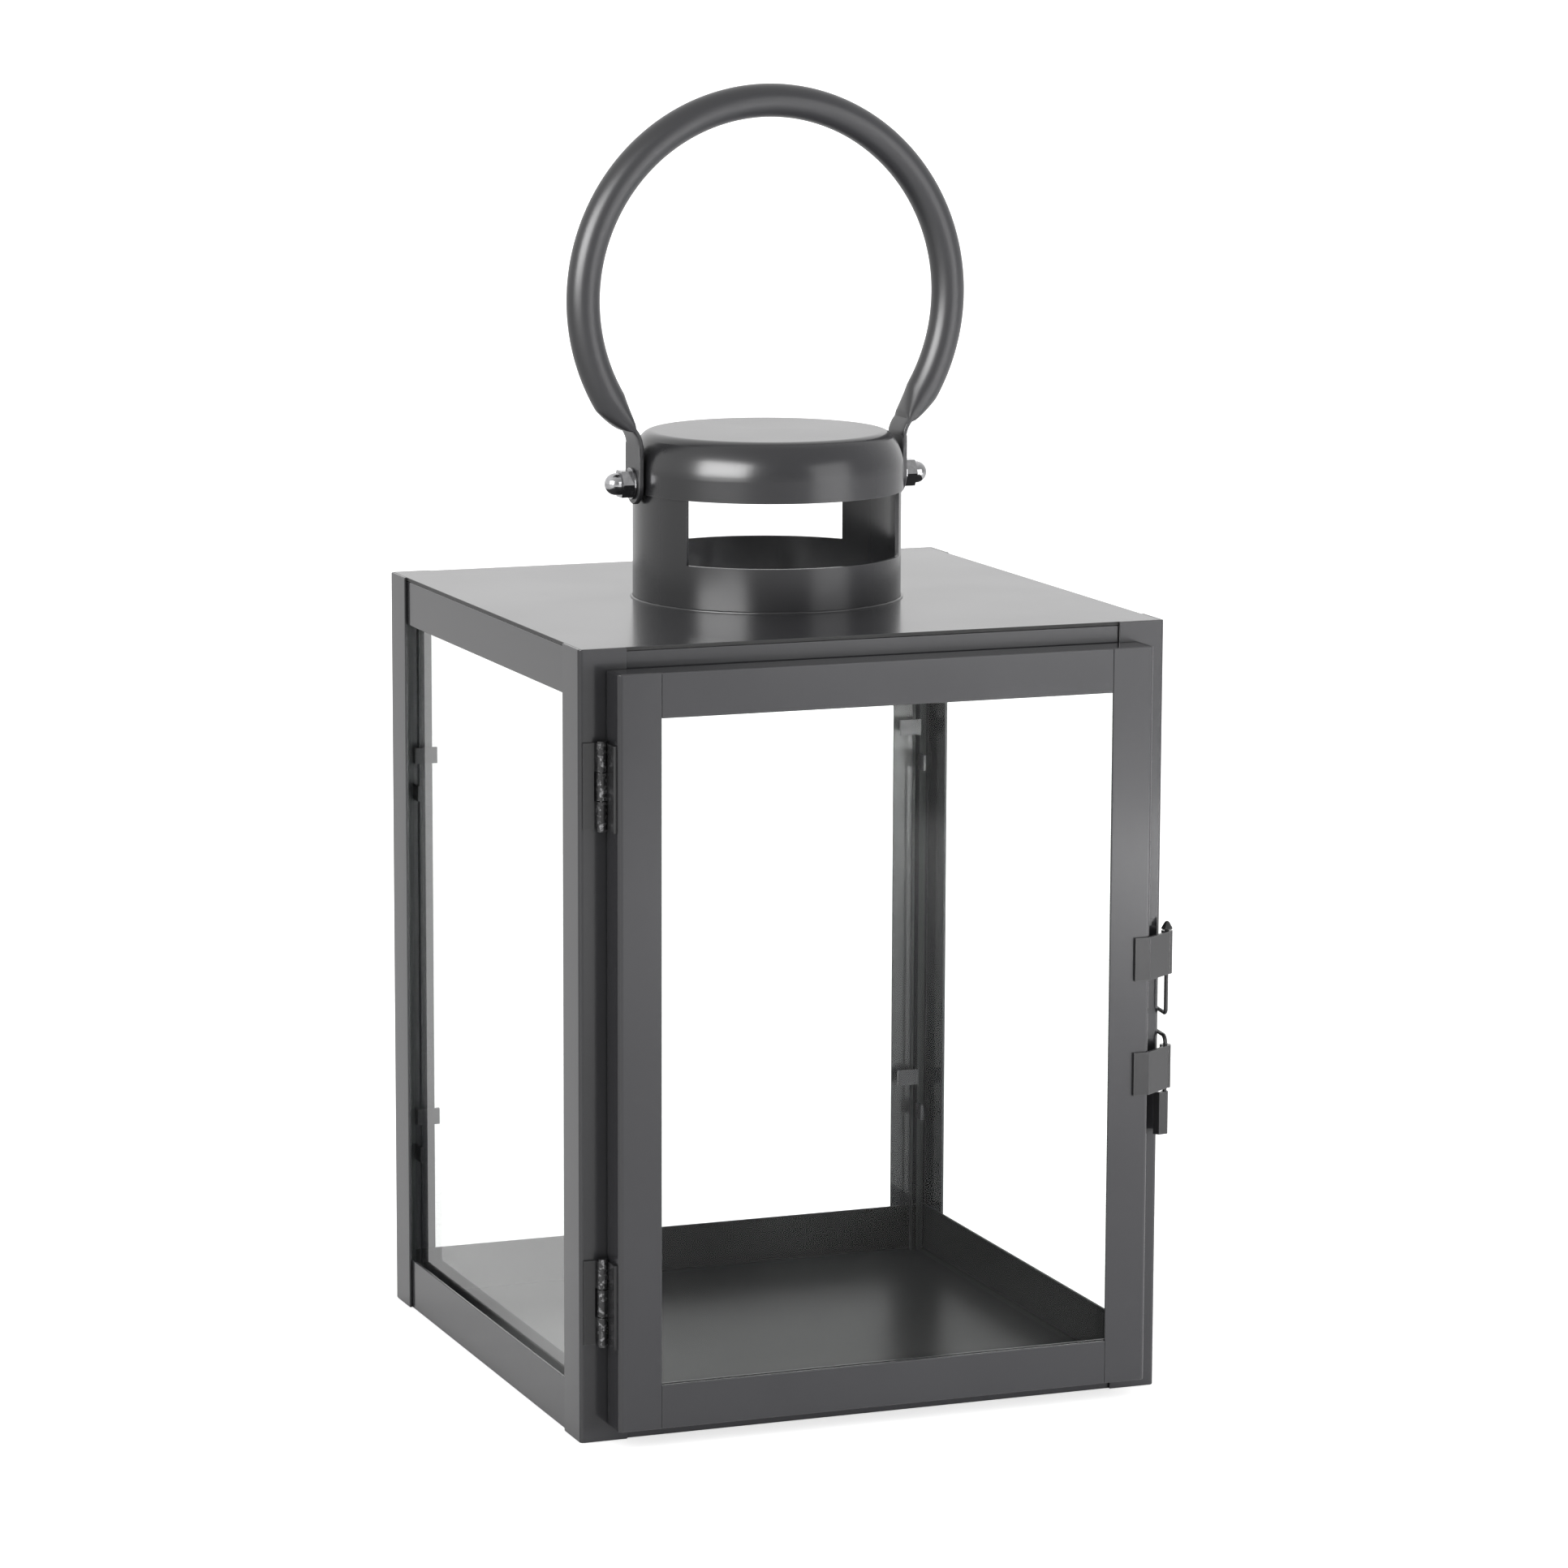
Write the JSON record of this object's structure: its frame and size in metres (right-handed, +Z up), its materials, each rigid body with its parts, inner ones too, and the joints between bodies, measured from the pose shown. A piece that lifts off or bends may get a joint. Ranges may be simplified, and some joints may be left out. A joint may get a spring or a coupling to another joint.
{
  "type": "candle lantern",
  "caption": "Square sheet-metal table lantern with glass sides, a hinged glazed front door, wire catches, a vented round cap and a ring handle that swings.",
  "frame": {"origin": "centre of the body's footprint on the surface that it stands on", "axes": "+Z up, -Y out through the door, +X to the right when facing the door"},
  "size_m": [0.1634, 0.1678, 0.3408],
  "materials": {
    "frame_paint": "satin",
    "plate_paint": "satin",
    "vent_paint": "satin",
    "handle_paint": "satin",
    "hinge_paint": "satin",
    "catch_paint": "satin",
    "glass": "clear",
    "fastener": "polished"
  },
  "bodies": {
    "lantern": {"post_front_left": "frame_paint", "post_front_right": "frame_paint", "post_back_left": "frame_paint", "post_back_right": "frame_paint", "bottom_rail_front": "frame_paint", "bottom_rail_back": "frame_paint", "bottom_rail_left": "frame_paint", "bottom_rail_right": "frame_paint", "top_rail_front": "frame_paint", "top_rail_back": "frame_paint", "top_rail_left": "frame_paint", "top_rail_right": "frame_paint", "base_plate": "plate_paint", "top_plate": "plate_paint", "vent_collar": "vent_paint", "cap": "vent_paint", "glass_left": "glass", "glass_right": "glass", "glass_back": "glass", "glass_lugs_left": "frame_paint", "glass_lugs_right": "frame_paint", "glass_lugs_back": "frame_paint", "upper_hinge_body_leaf": "hinge_paint", "lower_hinge_body_leaf": "hinge_paint", "upper_hinge_pin": "hinge_paint", "lower_hinge_pin": "hinge_paint", "catch_keepers": "catch_paint", "handle_bolt_left": "fastener", "handle_bolt_right": "fastener", "handle_washer_left": "fastener", "handle_washer_right": "fastener", "acorn_nut_left": "fastener", "acorn_nut_right": "fastener"},
    "door": {"door_stile_hinge": "frame_paint", "door_stile_catch": "frame_paint", "door_rail_top": "frame_paint", "door_rail_bottom": "frame_paint", "door_glass": "glass", "door_glass_lugs": "frame_paint", "upper_hinge_door_leaf": "hinge_paint", "lower_hinge_door_leaf": "hinge_paint", "upper_catch_strap": "catch_paint", "lower_catch_strap": "catch_paint"},
    "handle": {"handle": "handle_paint"},
    "upper_bail": {"upper_catch_bail": "catch_paint"},
    "lower_hook": {"lower_catch_hook": "catch_paint", "lower_catch_tab": "catch_paint"}
  },
  "joints": [
    {"name": "door_swing", "type": "hinge", "parent": "lantern", "child": "door", "pos_m": [-0.075, -0.08035, 0.1], "axis": [0, 0, -1], "range_deg": [0, 105]},
    {"name": "handle_swing", "type": "hinge", "parent": "lantern", "child": "handle", "pos_m": [0, 0, 0.2365], "axis": [1, 0, 0], "range_deg": [-108, 108]},
    {"name": "upper_bail_swing", "type": "hinge", "parent": "door", "child": "upper_bail", "pos_m": [0.081, -0.0818, 0.11], "axis": [0, 0, -1], "range_deg": [0, 150]},
    {"name": "lower_hook_swing", "type": "hinge", "parent": "door", "child": "lower_hook", "pos_m": [0.081, -0.0818, 0.085], "axis": [0, 0, -1], "range_deg": [0, 150]}
  ]
}
